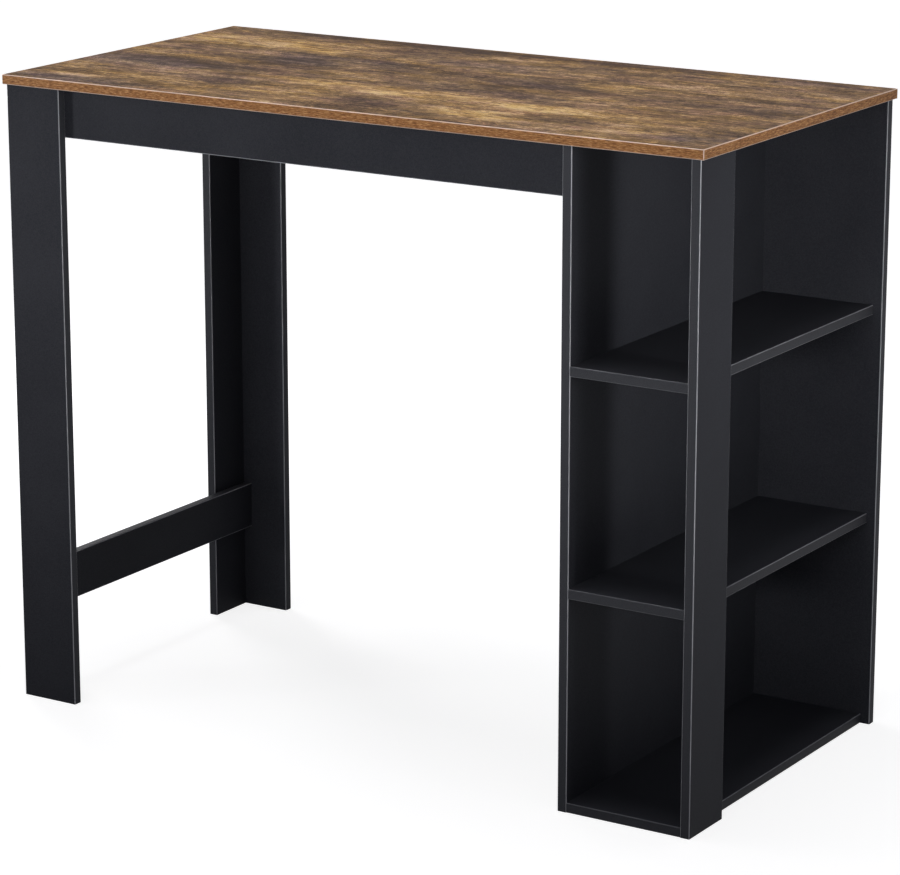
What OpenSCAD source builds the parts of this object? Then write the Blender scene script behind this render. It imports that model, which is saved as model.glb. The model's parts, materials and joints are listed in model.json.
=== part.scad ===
// Bar counter of melamine-faced chipboard: a long worktop on two L-shaped legs at its left end
// and an open three-compartment unit at its right end.
// Millimetres. X runs along the counter, Y from front to back, Z up.
// The origin is on the floor, under the middle of the worktop.

/* [Worktop] */
// Height of the worktop's upper face above the floor
total_h = 1050; // [950:5:1150]
// Length of the worktop
top_l = 1280; // [1000:10:1600]
// Depth of the worktop, front to back
top_d = 640; // [500:10:800]
// Thickness of the worktop
top_t = 16; // [16:1:28]
// How far the worktop stands out past the frame at each end
end_overhang = 6; // [2:1:30]
// How far the worktop stands out past the frame at the front and the back
side_overhang = 4; // [2:1:30]

/* [Frame boards] */
// Thickness of every board under the worktop
board_t = 16; // [16:1:22]
// Width of a left leg's face board, along the counter
leg_face_w = 105; // [95:5:160]
// Depth of a left leg over both of its boards
leg_return_d = 105; // [95:5:160]
// Height of the front and rear aprons
apron_h = 80; // [70:5:140]
// Height of the foot rail, from its lower edge to its upper edge
foot_rail_h = 80; // [70:5:140]
// Height of the foot rail's lower edge above the floor
foot_rail_z = 148; // [110:2:250]

/* [Shelf unit] */
// Width of the shelf unit, from the divider's outer face to the right end of the frame
unit_w = 230; // [190:5:400]
// Depth of the corner post, from the front
post_d = 105; // [95:5:160]
// Height of the lower shelf's upper face above the floor
lower_shelf_top = 358; // [280:2:420]
// Height of the upper shelf's upper face above the floor
upper_shelf_top = 703; // [600:1:760]

/* [Edge bands] */
// Thickness of the band on each edge
band_t = 2; // [1:0.25:3]
// Radius of a band's two outer long edges
band_r = 1.5; // [0.25:0.25:2]

/* [Dowels] */
// Diameter of a wooden dowel
dowel_d = 8; // [6:0.5:8]
// Length of a dowel
dowel_l = 30; // [24:1:35]
// Depth that a dowel goes into the face of a board
dowel_face_depth = 10; // [8:0.5:11]
// Distance of a rail's dowels from its upper and lower edges
dowel_edge = 20; // [12:1:22]
// Number of dowels that join the two boards of a leg
leg_dowels = 4; // [2:1:6]
// Number of dowels between the divider and the rear panel
panel_dowels = 4; // [2:1:6]

/* [Cam fittings] */
// Diameter of a cam disc
cam_d = 15; // [12:0.5:16]
// Thickness of a cam disc under the bolt's head
cam_floor_t = 0.5; // [0.25:0.25:1.5]
// Distance of a cam disc's centre from the edge that it draws up
cam_setback = 34; // [24:1:36]
// Diameter of a cam bolt's thread
bolt_thread_d = 6; // [5:0.5:6.5]
// Length of a cam bolt's thread, inside the face of a board
bolt_thread_l = 10; // [8:0.5:11]
// Diameter of a cam bolt's shank and head
bolt_shank_d = 6.5; // [5:0.5:7]
// Length of a cam bolt's head
bolt_head_l = 3; // [2:0.5:4]
// Diameter of the neck behind a cam bolt's head
bolt_neck_d = 3.6; // [3:0.1:4.2]
// Number of cam fittings between the divider and the rear panel
panel_cams = 3; // [2:1:4]

/* [Screws] */
// Diameter of the screws in the aprons and the foot rail
screw_d = 4; // [3:0.5:5]
// Diameter of those screws' heads
screw_head_d = 8; // [7:0.5:9]
// Length of those screws
screw_l = 26; // [23:1:28]
// Diameter of the cap over a foot rail screw
cap_d = 13; // [11:0.5:16]
// Thickness of that cap
cap_t = 0.8; // [0.5:0.1:1.5]

/* [Angle brackets] */
// Length of an angle bracket's two legs
bracket_leg = 25; // [22:1:35]
// Width of an angle bracket
bracket_w = 20; // [16:1:40]
// Thickness of an angle bracket
bracket_t = 2; // [1.5:0.1:3]
// Distance of a bracket's holes from its corner
bracket_hole_out = 15; // [12:1:17]
// Number of angle brackets on each apron
apron_brackets = 3; // [1:1:5]
// Diameter of a bracket screw
bracket_screw_d = 3.5; // [3:0.5:4]
// Length of a bracket screw below its head
bracket_screw_l = 14; // [10:1:15]

/* [Hidden] */
// Clearances
dowel_fit = 0.1;
cam_fit = 0.15;
bolt_fit = 0.25;
thread_fit = 0.1;
screw_fit = 0.1;
bore_end_gap = 0.5;

// Details of the fittings
collar_t = 2;
screw_rim_t = 0.3;
cross_slot_w = 1.2;
cross_slot_depth = 1.2;
pan_head_d = 7;
pan_head_h = 2;

// The rounded edges leave a little of the band's side straight
band_foot_t = 0.2;
edge_r = min(band_r, band_t - band_foot_t);

// Parts of a cam fitting that follow from its bolt
channel_d = bolt_shank_d + 2 * bolt_fit;
bolt_tip = cam_setback + bolt_head_l / 2;
shank_end = cam_setback - cam_d / 2 - bolt_fit;
cam_h = board_t / 2 + channel_d / 2 + cam_floor_t;
cam_cavity_r = norm([bolt_shank_d, bolt_head_l]) / 2 + bolt_fit;

// Outline of the frame under the worktop
frame_h = total_h - top_t;
frame_l = top_l - 2 * end_overhang;
frame_d = top_d - 2 * side_overhang;
x_left = -frame_l / 2;
x_right = frame_l / 2;
y_front = -frame_d / 2;
y_back = frame_d / 2;

// Faces and middle planes that several pieces share
half_t = board_t / 2;
leg_inner_x = x_left + board_t;
rail_inner_x = leg_inner_x + board_t;
face_front_y = y_front + board_t;
face_back_y = y_back - board_t;
apron_inner_y = face_front_y + board_t;
apron_z = frame_h - apron_h;
unit_x = x_right - unit_w;
shelf_left_x = unit_x + board_t;
shelf_right_x = x_right - board_t;
foot_rail_top = foot_rail_z + foot_rail_h;

// Turns that take +Z to the named side
TO_RIGHT = [0, 90, 0];
TO_LEFT = [0, -90, 0];
TO_BACK = [-90, 0, 0];
TO_FRONT = [90, 0, 0];
TO_FLOOR = [180, 0, 0];

// Turns of an edge band: the way it runs, then the side that it faces
UP_FACING_FRONT = [0, 0, 180];
UP_FACING_BACK = [0, 0, 0];
UP_FACING_LEFT = [0, 0, 90];
UP_FACING_RIGHT = [0, 0, -90];
ALONG_FACING_FRONT = [180, -90, 0];
ALONG_FACING_FLOOR = [-90, 0, -90];
DEEP_FACING_RIGHT = [-90, -90, 0];
DEEP_FACING_TOP = [90, 0, 180];
DEEP_FACING_FLOOR = [-90, 0, 0];

// Turns of a cam fitting about its bolt, which point its open face
OPEN_BELOW_FROM_LEFT = 180;
OPEN_BELOW_FROM_BACK = 90;
OPEN_BELOW_FROM_RIGHT = 0;
OPEN_BEHIND_FROM_RIGHT = -90;
OPEN_LEFT_FROM_BACK = 0;

function spread(count, low, high) = [for (i = [0:count - 1]) low + (high - low) * i / (count - 1)];
function slots(count, low, high) = [for (i = [0:count - 1]) low + (high - low) * (i + 0.5) / count];

// Every joint below has its spots on the plane where an edge meets a face.
// The left end and the aprons are alike at the front and the back, so only the front is listed.

// Dowels in the corner of a left leg
leg_dowel_low = 90;
leg_dowel_below_apron = 40;
leg_dowel_z = spread(leg_dowels, leg_dowel_low, apron_z - leg_dowel_below_apron);
leg_spots = [for (z = leg_dowel_z) [x_left + half_t, face_front_y, z]];

// Dowels in the end of the foot rail
foot_rail_joint_z = [foot_rail_z + dowel_edge, foot_rail_top - dowel_edge];
foot_rail_spots = [for (z = foot_rail_joint_z) [leg_inner_x + half_t, face_front_y, z]];

// Dowels in the two ends of an apron, and the cam fitting in its right end
apron_mid_y = face_front_y + half_t;
apron_dowel_z = [apron_z + dowel_edge, frame_h - dowel_edge];
apron_left_spots = [for (z = apron_dowel_z) [leg_inner_x, apron_mid_y, z]];
apron_right_spots = [for (z = apron_dowel_z) [unit_x, apron_mid_y, z]];
apron_cam_spots = [[unit_x, apron_mid_y, apron_z + apron_h / 2]];

// Dowels and cam fittings between the divider and the rear panel
panel_dowel_low = 60;
panel_dowel_below_apron = 20;
panel_cam_low = 180;
panel_cam_below_apron = 120;
panel_dowel_z = spread(panel_dowels, panel_dowel_low, apron_z - panel_dowel_below_apron);
panel_cam_z = spread(panel_cams, panel_cam_low, apron_z - panel_cam_below_apron);
panel_dowel_spots = [for (z = panel_dowel_z) [unit_x + half_t, face_back_y, z]];
panel_cam_spots = [for (z = panel_cam_z) [unit_x + half_t, face_back_y, z]];

// Dowels and cam fittings round a shelf whose middle plane is at height z
shelf_cam_inset = 95;
shelf_dowel_inset = 60;
shelf_back_dowel_out = 45;
post_cam_inset = 32;
post_dowel_inset = 30;
shelf_mid_x = (shelf_left_x + shelf_right_x) / 2;
post_cam_y = y_front + post_cam_inset;
post_dowel_y = y_front + post_d - post_dowel_inset;
function shelf_left_cams(z) = [for (y = [y_front + shelf_cam_inset, face_back_y - shelf_cam_inset])
    [shelf_left_x, y, z]];
function shelf_left_dowels(z) = [for (y = [y_front + shelf_dowel_inset, face_back_y - shelf_dowel_inset])
    [shelf_left_x, y, z]];
function shelf_back_cams(z) = [[shelf_mid_x, face_back_y, z]];
function shelf_back_dowels(z) = [for (side = [-1, 1])
    [shelf_mid_x + side * shelf_back_dowel_out, face_back_y, z]];
function shelf_post_cams(z) = [[shelf_right_x, post_cam_y, z]];
function shelf_post_dowels(z) = [[shelf_right_x, post_dowel_y, z]];
base_z = half_t;
lower_z = lower_shelf_top - half_t;
upper_z = upper_shelf_top - half_t;
shelf_heights = [base_z, lower_z, upper_z];

// Dowels between the frame's upper edges and the worktop
top_dowel_inset = 30;
top_panel_inset = 60;
top_divider_inset = 160;
leg_face_top = [[x_left + leg_face_w - top_dowel_inset, y_front + half_t, frame_h]];
leg_side_top = [[x_left + half_t, y_front + leg_return_d - top_dowel_inset, frame_h]];
divider_top = [for (y = [y_front + top_divider_inset, y_back - top_divider_inset])
    [unit_x + half_t, y, frame_h]];
post_top = [for (y = [post_cam_y, post_dowel_y]) [x_right - half_t, y, frame_h]];
panel_top = [for (x = [unit_x + top_panel_inset, x_right - top_panel_inset])
    [x, y_back - half_t, frame_h]];

// Screws from an apron into the leg's face board
apron_screw_inset = 28;
apron_screw_spots = [for (x = [leg_inner_x + apron_screw_inset, x_left + leg_face_w - apron_screw_inset])
    [x, apron_inner_y, apron_z + apron_h / 2]];

// Screws from a leg's side board into the foot rail
rail_screw_inset = 35;
rail_screw_spots = [for (z = foot_rail_joint_z) [x_left, y_front + leg_return_d - rail_screw_inset, z]];

// Angle brackets in the corner between an upright board and the worktop
divider_bracket_out = 80;
apron_bracket_spots = [for (x = slots(apron_brackets, x_left + leg_face_w, unit_x))
    [x, apron_inner_y, frame_h]];
divider_bracket_spot = [unit_x, -divider_bracket_out, frame_h];

// Colours, close to those of the real finishes
BLACK_BOARD = [0.13, 0.13, 0.145];
BLACK_BAND = [0.17, 0.17, 0.185];
BROWN_PRINT = [0.45, 0.31, 0.17];
BROWN_BAND = [0.62, 0.40, 0.22];
BEECH = [0.80, 0.66, 0.46];
ZINC = [0.72, 0.72, 0.74];

// Sides of a drawn circle
$fn = 48;

// A board from its lowest corner to its highest corner
module board(low, high) {
    translate(low) cube(high - low);
}

// What stands at the front, and the same at the back
module front_and_back() {
    children();
    mirror([0, 1, 0]) children();
}

// Copies of a piece at each spot, with its +Z turned to one side and a turn about that
module at_spots(spots, turn, roll = 0) {
    for (spot = spots) translate(spot) rotate(turn) rotate([0, 0, roll]) children();
}

// Rounded square, its corners as true arcs
module rounded_square(size, r) {
    translate([r, 0]) square([size.x - 2 * r, size.y]);
    translate([0, r]) square([size.x, size.y - 2 * r]);
    for (x = [r, size.x - r]) for (y = [r, size.y - r]) translate([x, y]) circle(r);
}

// The worktop's whole outline, with its outer edges rounded all round
module worktop_outline() {
    translate([-top_l / 2, -top_d / 2, frame_h]) intersection() {
        linear_extrude(top_t) rounded_square([top_l, top_d], edge_r);
        translate([0, top_d, 0]) rotate([90, 0, 0])
            linear_extrude(top_d) rounded_square([top_l, top_t], edge_r);
        rotate([90, 0, 90]) linear_extrude(top_l) rounded_square([top_d, top_t], edge_r);
    }
}

// Cross-section of an edge band: its foot on the board, its two outer corners rounded
module band_profile() {
    intersection() {
        translate([-half_t, 0]) square([board_t, band_t]);
        translate([-half_t, -band_t]) rounded_square([board_t, 2 * band_t], edge_r);
    }
}

// An edge band that starts at a point on the board's cut edge, midway in its thickness
module band(start, turn, length) {
    color(BLACK_BAND) translate(start) rotate(turn) linear_extrude(length) band_profile();
}

// A dowel at the joint plane: it reaches into an edge along +Z and into a face along -Z
module dowel() {
    color(BEECH) translate([0, 0, -dowel_face_depth]) cylinder(d = dowel_d, h = dowel_l);
}

module dowel_bore() {
    translate([0, 0, -dowel_face_depth - bore_end_gap])
        cylinder(d = dowel_d + 2 * dowel_fit, h = dowel_l + 2 * bore_end_gap);
}

// A cam bolt: thread into the face along -Z, then collar, shank, neck and head into the edge
module cam_bolt() {
    color(ZINC) {
        translate([0, 0, -bolt_thread_l]) cylinder(d = bolt_thread_d, h = bolt_thread_l);
        cylinder(d = channel_d - 2 * thread_fit, h = collar_t);
        cylinder(d = bolt_shank_d, h = shank_end);
        cylinder(d = bolt_neck_d, h = bolt_tip);
        translate([0, 0, bolt_tip - bolt_head_l]) cylinder(d = bolt_shank_d, h = bolt_head_l);
    }
}

// The hole for a cam bolt, from its thread's end in the face to its tip in the edge
module cam_bolt_bore() {
    translate([0, 0, -bolt_thread_l - bore_end_gap])
        cylinder(d = bolt_thread_d + 2 * thread_fit, h = bolt_thread_l + 2 * bore_end_gap);
    cylinder(d = channel_d, h = bolt_tip + bolt_fit);
}

// Takes a piece whose axis is +Z, with the bolt at -X, to the cam disc's place on the bolt
module at_cam() {
    translate([0, 0, cam_setback]) rotate(TO_LEFT) children();
}

// A cam disc: a cavity round the bolt's head, a slot for its neck and a cross for the screwdriver
module cam_disc() {
    color(ZINC) at_cam() difference() {
        translate([0, 0, half_t - cam_h]) cylinder(d = cam_d, h = cam_h);
        translate([0, 0, -channel_d / 2]) cylinder(r = cam_cavity_r, h = channel_d);
        rotate(TO_LEFT) cylinder(d = bolt_neck_d + 2 * bolt_fit, h = cam_d);
        for (turn = [0, 90]) rotate([0, 0, turn])
            translate([-cam_d / 4, -cross_slot_w / 2, half_t - cross_slot_depth])
                cube([cam_d / 2, cross_slot_w, 2 * cross_slot_depth]);
    }
}

module cam_bore() {
    cam_bolt_bore();
    at_cam() translate([0, 0, half_t - cam_h - bore_end_gap])
        cylinder(d = cam_d + 2 * cam_fit, h = cam_h + 2 * bore_end_gap);
}

// A countersunk screw whose head is flush at z = 0 and whose point is at +Z
module countersunk_screw() {
    color(ZINC) rotate_extrude() polygon([[0, 0], [screw_head_d / 2, 0], [screw_head_d / 2, screw_rim_t],
        [screw_d / 2, (screw_head_d - screw_d) / 2 + screw_rim_t],
        [screw_d / 2, screw_l - screw_d / 2], [0, screw_l]]);
}

module countersunk_bore() {
    sink_r = screw_head_d / 2 + screw_fit;
    hole_r = screw_d / 2 + screw_fit;
    sink_z = screw_rim_t + screw_fit;
    low_z = -bore_end_gap;
    high_z = screw_l + bore_end_gap;
    rotate_extrude() polygon([[0, low_z], [sink_r, low_z], [sink_r, sink_z],
        [hole_r, sink_z + sink_r - hole_r], [hole_r, high_z], [0, high_z]]);
}

// Takes a piece at z = 0 to the inner face of each leg of a bracket, with +Z into the board.
// The bracket's own corner is at the origin: one leg hangs down, the other reaches out along +X.
module at_bracket_holes() {
    translate([bracket_hole_out, 0, -bracket_t]) children();
    translate([bracket_t, 0, -bracket_hole_out]) rotate(TO_LEFT) children();
}

module angle_bracket() {
    color(ZINC) difference() {
        translate([0, bracket_w / 2, 0]) rotate([90, 0, 0]) linear_extrude(bracket_w)
            polygon([[0, 0], [bracket_leg, 0], [bracket_leg, -bracket_t], [bracket_t, -bracket_t],
                [bracket_t, -bracket_leg], [0, -bracket_leg]]);
        at_bracket_holes() bracket_screw_bore();
    }
}

module bracket_screw() {
    color(ZINC) {
        translate([0, 0, -pan_head_h]) cylinder(d = pan_head_d, h = pan_head_h);
        cylinder(d = bracket_screw_d, h = bracket_screw_l);
    }
}

module bracket_screw_bore() {
    translate([0, 0, -bore_end_gap])
        cylinder(d = bracket_screw_d + 2 * screw_fit, h = bracket_screw_l + 2 * bore_end_gap);
}

// Places what belongs at every angle bracket
module at_brackets() {
    front_and_back() for (spot = apron_bracket_spots) translate(spot) rotate([0, 0, 90]) children();
    front_and_back() translate(divider_bracket_spot) rotate([0, 0, 180]) children();
}

module bracket_bores() {
    at_brackets() at_bracket_holes() bracket_screw_bore();
}

// Worktop

module tabletop_board() {
    color(BROWN_PRINT) difference() {
        board([band_t - top_l / 2, band_t - top_d / 2, frame_h],
            [top_l / 2 - band_t, top_d / 2 - band_t, total_h]);
        front_and_back() at_spots(concat(leg_face_top, leg_side_top), TO_FLOOR) dowel_bore();
        at_spots(concat(divider_top, post_top, panel_top), TO_FLOOR) dowel_bore();
        bracket_bores();
    }
}

module tabletop_front_band() {
    color(BROWN_BAND) intersection() {
        board([-top_l / 2, -top_d / 2, frame_h], [top_l / 2, band_t - top_d / 2, total_h]);
        worktop_outline();
    }
}

module tabletop_rear_band() {
    mirror([0, 1, 0]) tabletop_front_band();
}

module tabletop_left_band() {
    color(BROWN_BAND) intersection() {
        board([-top_l / 2, band_t - top_d / 2, frame_h], [band_t - top_l / 2, top_d / 2 - band_t, total_h]);
        worktop_outline();
    }
}

module tabletop_right_band() {
    mirror([1, 0, 0]) tabletop_left_band();
}

// Left legs

module front_leg_face_board() {
    color(BLACK_BOARD) difference() {
        board([x_left + band_t, y_front, 0], [x_left + leg_face_w - band_t, face_front_y, frame_h]);
        at_spots(concat(leg_spots, foot_rail_spots), TO_BACK) dowel_bore();
        at_spots(leg_face_top, TO_FLOOR) dowel_bore();
        at_spots(apron_screw_spots, TO_FRONT) countersunk_bore();
    }
}

module front_leg_side_board() {
    color(BLACK_BOARD) difference() {
        board([x_left, face_front_y, 0], [leg_inner_x, y_front + leg_return_d - band_t, frame_h]);
        at_spots(leg_spots, TO_BACK) dowel_bore();
        at_spots(apron_left_spots, TO_RIGHT) dowel_bore();
        at_spots(leg_side_top, TO_FLOOR) dowel_bore();
        at_spots(rail_screw_spots, TO_RIGHT) countersunk_bore();
    }
}

module rear_leg_face_board() {
    mirror([0, 1, 0]) front_leg_face_board();
}

module rear_leg_side_board() {
    mirror([0, 1, 0]) front_leg_side_board();
}

module front_leg_bands() {
    band([x_left + band_t, y_front + half_t, 0], UP_FACING_LEFT, frame_h);
    band([x_left + leg_face_w - band_t, y_front + half_t, 0], UP_FACING_RIGHT, frame_h);
    band([x_left + half_t, y_front + leg_return_d - band_t, 0], UP_FACING_BACK, frame_h);
}

module rear_leg_bands() {
    mirror([0, 1, 0]) front_leg_bands();
}

// Aprons and foot rail

module front_apron() {
    color(BLACK_BOARD) difference() {
        board([leg_inner_x, face_front_y, apron_z + band_t], [unit_x, apron_inner_y, frame_h]);
        at_spots(apron_left_spots, TO_RIGHT) dowel_bore();
        at_spots(apron_right_spots, TO_LEFT) dowel_bore();
        at_spots(apron_cam_spots, TO_LEFT, OPEN_BEHIND_FROM_RIGHT) cam_bore();
        at_spots(apron_screw_spots, TO_FRONT) countersunk_bore();
        bracket_bores();
    }
}

module rear_apron() {
    mirror([0, 1, 0]) front_apron();
}

module apron_bands() {
    front_and_back()
        band([leg_inner_x, apron_mid_y, apron_z + band_t], ALONG_FACING_FLOOR, unit_x - leg_inner_x);
}

module foot_rail() {
    color(BLACK_BOARD) difference() {
        board([leg_inner_x, face_front_y, foot_rail_z + band_t],
            [rail_inner_x, face_back_y, foot_rail_top - band_t]);
        front_and_back() at_spots(foot_rail_spots, TO_BACK) dowel_bore();
        front_and_back() at_spots(rail_screw_spots, TO_RIGHT) countersunk_bore();
    }
}

module foot_rail_bands() {
    rail_l = face_back_y - face_front_y;
    band([leg_inner_x + half_t, face_front_y, foot_rail_top - band_t], DEEP_FACING_TOP, rail_l);
    band([leg_inner_x + half_t, face_front_y, foot_rail_z + band_t], DEEP_FACING_FLOOR, rail_l);
}

// Shelf unit

module divider_panel() {
    color(BLACK_BOARD) difference() {
        board([unit_x, y_front + band_t, 0], [shelf_left_x, face_back_y, frame_h]);
        front_and_back() at_spots(apron_right_spots, TO_LEFT) dowel_bore();
        front_and_back() at_spots(apron_cam_spots, TO_LEFT) cam_bolt_bore();
        at_spots(panel_dowel_spots, TO_FRONT) dowel_bore();
        at_spots(panel_cam_spots, TO_FRONT, OPEN_LEFT_FROM_BACK) cam_bore();
        for (z = shelf_heights) {
            at_spots(shelf_left_dowels(z), TO_RIGHT) dowel_bore();
            at_spots(shelf_left_cams(z), TO_RIGHT) cam_bolt_bore();
        }
        at_spots(divider_top, TO_FLOOR) dowel_bore();
        bracket_bores();
    }
}

module divider_front_band() {
    band([unit_x + half_t, y_front + band_t, 0], UP_FACING_FRONT, frame_h);
}

module rear_panel() {
    color(BLACK_BOARD) difference() {
        board([unit_x + band_t, face_back_y, 0], [x_right - band_t, y_back, frame_h]);
        at_spots(panel_dowel_spots, TO_FRONT) dowel_bore();
        at_spots(panel_cam_spots, TO_FRONT) cam_bolt_bore();
        for (z = shelf_heights) {
            at_spots(shelf_back_dowels(z), TO_FRONT) dowel_bore();
            at_spots(shelf_back_cams(z), TO_FRONT) cam_bolt_bore();
        }
        at_spots(panel_top, TO_FLOOR) dowel_bore();
    }
}

module rear_panel_bands() {
    band([unit_x + band_t, y_back - half_t, 0], UP_FACING_LEFT, frame_h);
    band([x_right - band_t, y_back - half_t, 0], UP_FACING_RIGHT, frame_h);
}

module corner_post() {
    color(BLACK_BOARD) difference() {
        board([shelf_right_x, y_front + band_t, 0], [x_right, y_front + post_d - band_t, frame_h]);
        for (z = shelf_heights) {
            at_spots(shelf_post_dowels(z), TO_LEFT) dowel_bore();
            at_spots(shelf_post_cams(z), TO_LEFT) cam_bolt_bore();
        }
        at_spots(post_top, TO_FLOOR) dowel_bore();
    }
}

module corner_post_bands() {
    band([x_right - half_t, y_front + band_t, 0], UP_FACING_FRONT, frame_h);
    band([x_right - half_t, y_front + post_d - band_t, 0], UP_FACING_BACK, frame_h);
}

// A shelf whose middle plane is at height z
module shelf(z) {
    color(BLACK_BOARD) difference() {
        board([shelf_left_x, y_front + band_t, z - half_t],
            [shelf_right_x - band_t, face_back_y, z + half_t]);
        shelf_bores(z);
    }
}

module shelf_bores(z) {
    at_spots(shelf_left_dowels(z), TO_RIGHT) dowel_bore();
    at_spots(shelf_back_dowels(z), TO_FRONT) dowel_bore();
    at_spots(shelf_post_dowels(z), TO_LEFT) dowel_bore();
    at_spots(shelf_left_cams(z), TO_RIGHT, OPEN_BELOW_FROM_LEFT) cam_bore();
    at_spots(shelf_back_cams(z), TO_FRONT, OPEN_BELOW_FROM_BACK) cam_bore();
    at_spots(shelf_post_cams(z), TO_LEFT, OPEN_BELOW_FROM_RIGHT) cam_bore();
}

module upper_shelf() {
    shelf(upper_z);
}

module lower_shelf() {
    shelf(lower_z);
}

module base_shelf() {
    shelf(base_z);
}

module shelf_front_bands() {
    for (z = shelf_heights)
        band([shelf_left_x, y_front + band_t, z], ALONG_FACING_FRONT, shelf_right_x - shelf_left_x);
}

// The bands on the shelves' right edges, drilled where the corner post is joined on
module shelf_side_bands() {
    for (z = shelf_heights) difference() {
        band([shelf_right_x - band_t, y_front + band_t, z], DEEP_FACING_RIGHT,
            face_back_y - y_front - band_t);
        at_spots(shelf_post_dowels(z), TO_LEFT) dowel_bore();
        at_spots(shelf_post_cams(z), TO_LEFT) cam_bolt_bore();
    }
}

// Dowels

module leg_corner_dowels() {
    front_and_back() at_spots(leg_spots, TO_BACK) dowel();
}

module foot_rail_dowels() {
    front_and_back() at_spots(foot_rail_spots, TO_BACK) dowel();
}

module apron_dowels() {
    front_and_back() {
        at_spots(apron_left_spots, TO_RIGHT) dowel();
        at_spots(apron_right_spots, TO_LEFT) dowel();
    }
}

module rear_panel_dowels() {
    at_spots(panel_dowel_spots, TO_FRONT) dowel();
}

module shelf_dowels() {
    for (z = shelf_heights) {
        at_spots(shelf_left_dowels(z), TO_RIGHT) dowel();
        at_spots(shelf_back_dowels(z), TO_FRONT) dowel();
        at_spots(shelf_post_dowels(z), TO_LEFT) dowel();
    }
}

module worktop_dowels() {
    front_and_back() at_spots(concat(leg_face_top, leg_side_top), TO_FLOOR) dowel();
    at_spots(concat(divider_top, post_top, panel_top), TO_FLOOR) dowel();
}

// Cam fittings

module apron_cam_bolts() {
    front_and_back() at_spots(apron_cam_spots, TO_LEFT) cam_bolt();
}

module apron_cam_discs() {
    front_and_back() at_spots(apron_cam_spots, TO_LEFT, OPEN_BEHIND_FROM_RIGHT) cam_disc();
}

module rear_panel_cam_bolts() {
    at_spots(panel_cam_spots, TO_FRONT) cam_bolt();
}

module rear_panel_cam_discs() {
    at_spots(panel_cam_spots, TO_FRONT, OPEN_LEFT_FROM_BACK) cam_disc();
}

module shelf_cam_bolts() {
    for (z = shelf_heights) {
        at_spots(shelf_left_cams(z), TO_RIGHT) cam_bolt();
        at_spots(shelf_back_cams(z), TO_FRONT) cam_bolt();
        at_spots(shelf_post_cams(z), TO_LEFT) cam_bolt();
    }
}

module shelf_cam_discs() {
    for (z = shelf_heights) {
        at_spots(shelf_left_cams(z), TO_RIGHT, OPEN_BELOW_FROM_LEFT) cam_disc();
        at_spots(shelf_back_cams(z), TO_FRONT, OPEN_BELOW_FROM_BACK) cam_disc();
        at_spots(shelf_post_cams(z), TO_LEFT, OPEN_BELOW_FROM_RIGHT) cam_disc();
    }
}

// Brackets and screws

module angle_brackets() {
    at_brackets() angle_bracket();
}

module bracket_screws() {
    at_brackets() at_bracket_holes() bracket_screw();
}

module apron_screws() {
    front_and_back() at_spots(apron_screw_spots, TO_FRONT) countersunk_screw();
}

module foot_rail_screws() {
    front_and_back() at_spots(rail_screw_spots, TO_RIGHT) countersunk_screw();
}

module foot_rail_screw_caps() {
    color(BLACK_BAND) front_and_back() at_spots(rail_screw_spots, TO_LEFT)
        cylinder(d = cap_d, h = cap_t);
}

tabletop_board();
tabletop_front_band();
tabletop_rear_band();
tabletop_left_band();
tabletop_right_band();
front_leg_face_board();
front_leg_side_board();
rear_leg_face_board();
rear_leg_side_board();
front_leg_bands();
rear_leg_bands();
front_apron();
rear_apron();
apron_bands();
foot_rail();
foot_rail_bands();
divider_panel();
divider_front_band();
rear_panel();
rear_panel_bands();
corner_post();
corner_post_bands();
upper_shelf();
lower_shelf();
base_shelf();
shelf_front_bands();
shelf_side_bands();
leg_corner_dowels();
foot_rail_dowels();
apron_dowels();
rear_panel_dowels();
shelf_dowels();
worktop_dowels();
apron_cam_bolts();
apron_cam_discs();
rear_panel_cam_bolts();
rear_panel_cam_discs();
shelf_cam_bolts();
shelf_cam_discs();
angle_brackets();
bracket_screws();
apron_screws();
foot_rail_screws();
foot_rail_screw_caps();
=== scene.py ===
"""Looks of a bar counter: a worktop with a weathered oak print on charcoal melamine boards.

Metres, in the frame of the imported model: X along the counter, Y from front to back, Z up.
"""
import json
import math

import bmesh
import bpy
from mathutils import Euler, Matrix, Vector


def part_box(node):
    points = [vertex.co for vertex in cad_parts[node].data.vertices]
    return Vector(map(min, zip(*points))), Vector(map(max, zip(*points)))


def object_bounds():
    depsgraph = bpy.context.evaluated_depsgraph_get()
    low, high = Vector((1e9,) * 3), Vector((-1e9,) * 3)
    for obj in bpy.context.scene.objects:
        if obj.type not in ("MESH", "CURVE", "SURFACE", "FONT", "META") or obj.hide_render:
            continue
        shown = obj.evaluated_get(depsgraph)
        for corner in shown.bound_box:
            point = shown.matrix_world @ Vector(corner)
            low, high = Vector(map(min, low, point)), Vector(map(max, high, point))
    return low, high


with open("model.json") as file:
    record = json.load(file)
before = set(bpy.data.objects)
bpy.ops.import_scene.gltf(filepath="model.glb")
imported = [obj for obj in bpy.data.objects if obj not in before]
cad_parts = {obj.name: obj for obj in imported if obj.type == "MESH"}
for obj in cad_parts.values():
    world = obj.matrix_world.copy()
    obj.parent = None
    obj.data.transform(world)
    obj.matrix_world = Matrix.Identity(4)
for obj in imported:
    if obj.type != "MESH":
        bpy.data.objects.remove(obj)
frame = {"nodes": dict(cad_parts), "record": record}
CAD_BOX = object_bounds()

MM = 0.001
# Height of the worktop's printed face
TOP = CAD_BOX[1][2]
# A board taller than this stands on the floor
UPRIGHT = 0.5


# Small helpers

def linear(hex_colour):
    """An sRGB hex colour as linear RGBA."""
    out = []
    for i in (1, 3, 5):
        c = int(hex_colour[i:i + 2], 16) / 255
        out.append(c / 12.92 if c <= 0.04045 else ((c + 0.055) / 1.055) ** 2.4)
    return (*out, 1.0)


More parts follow.
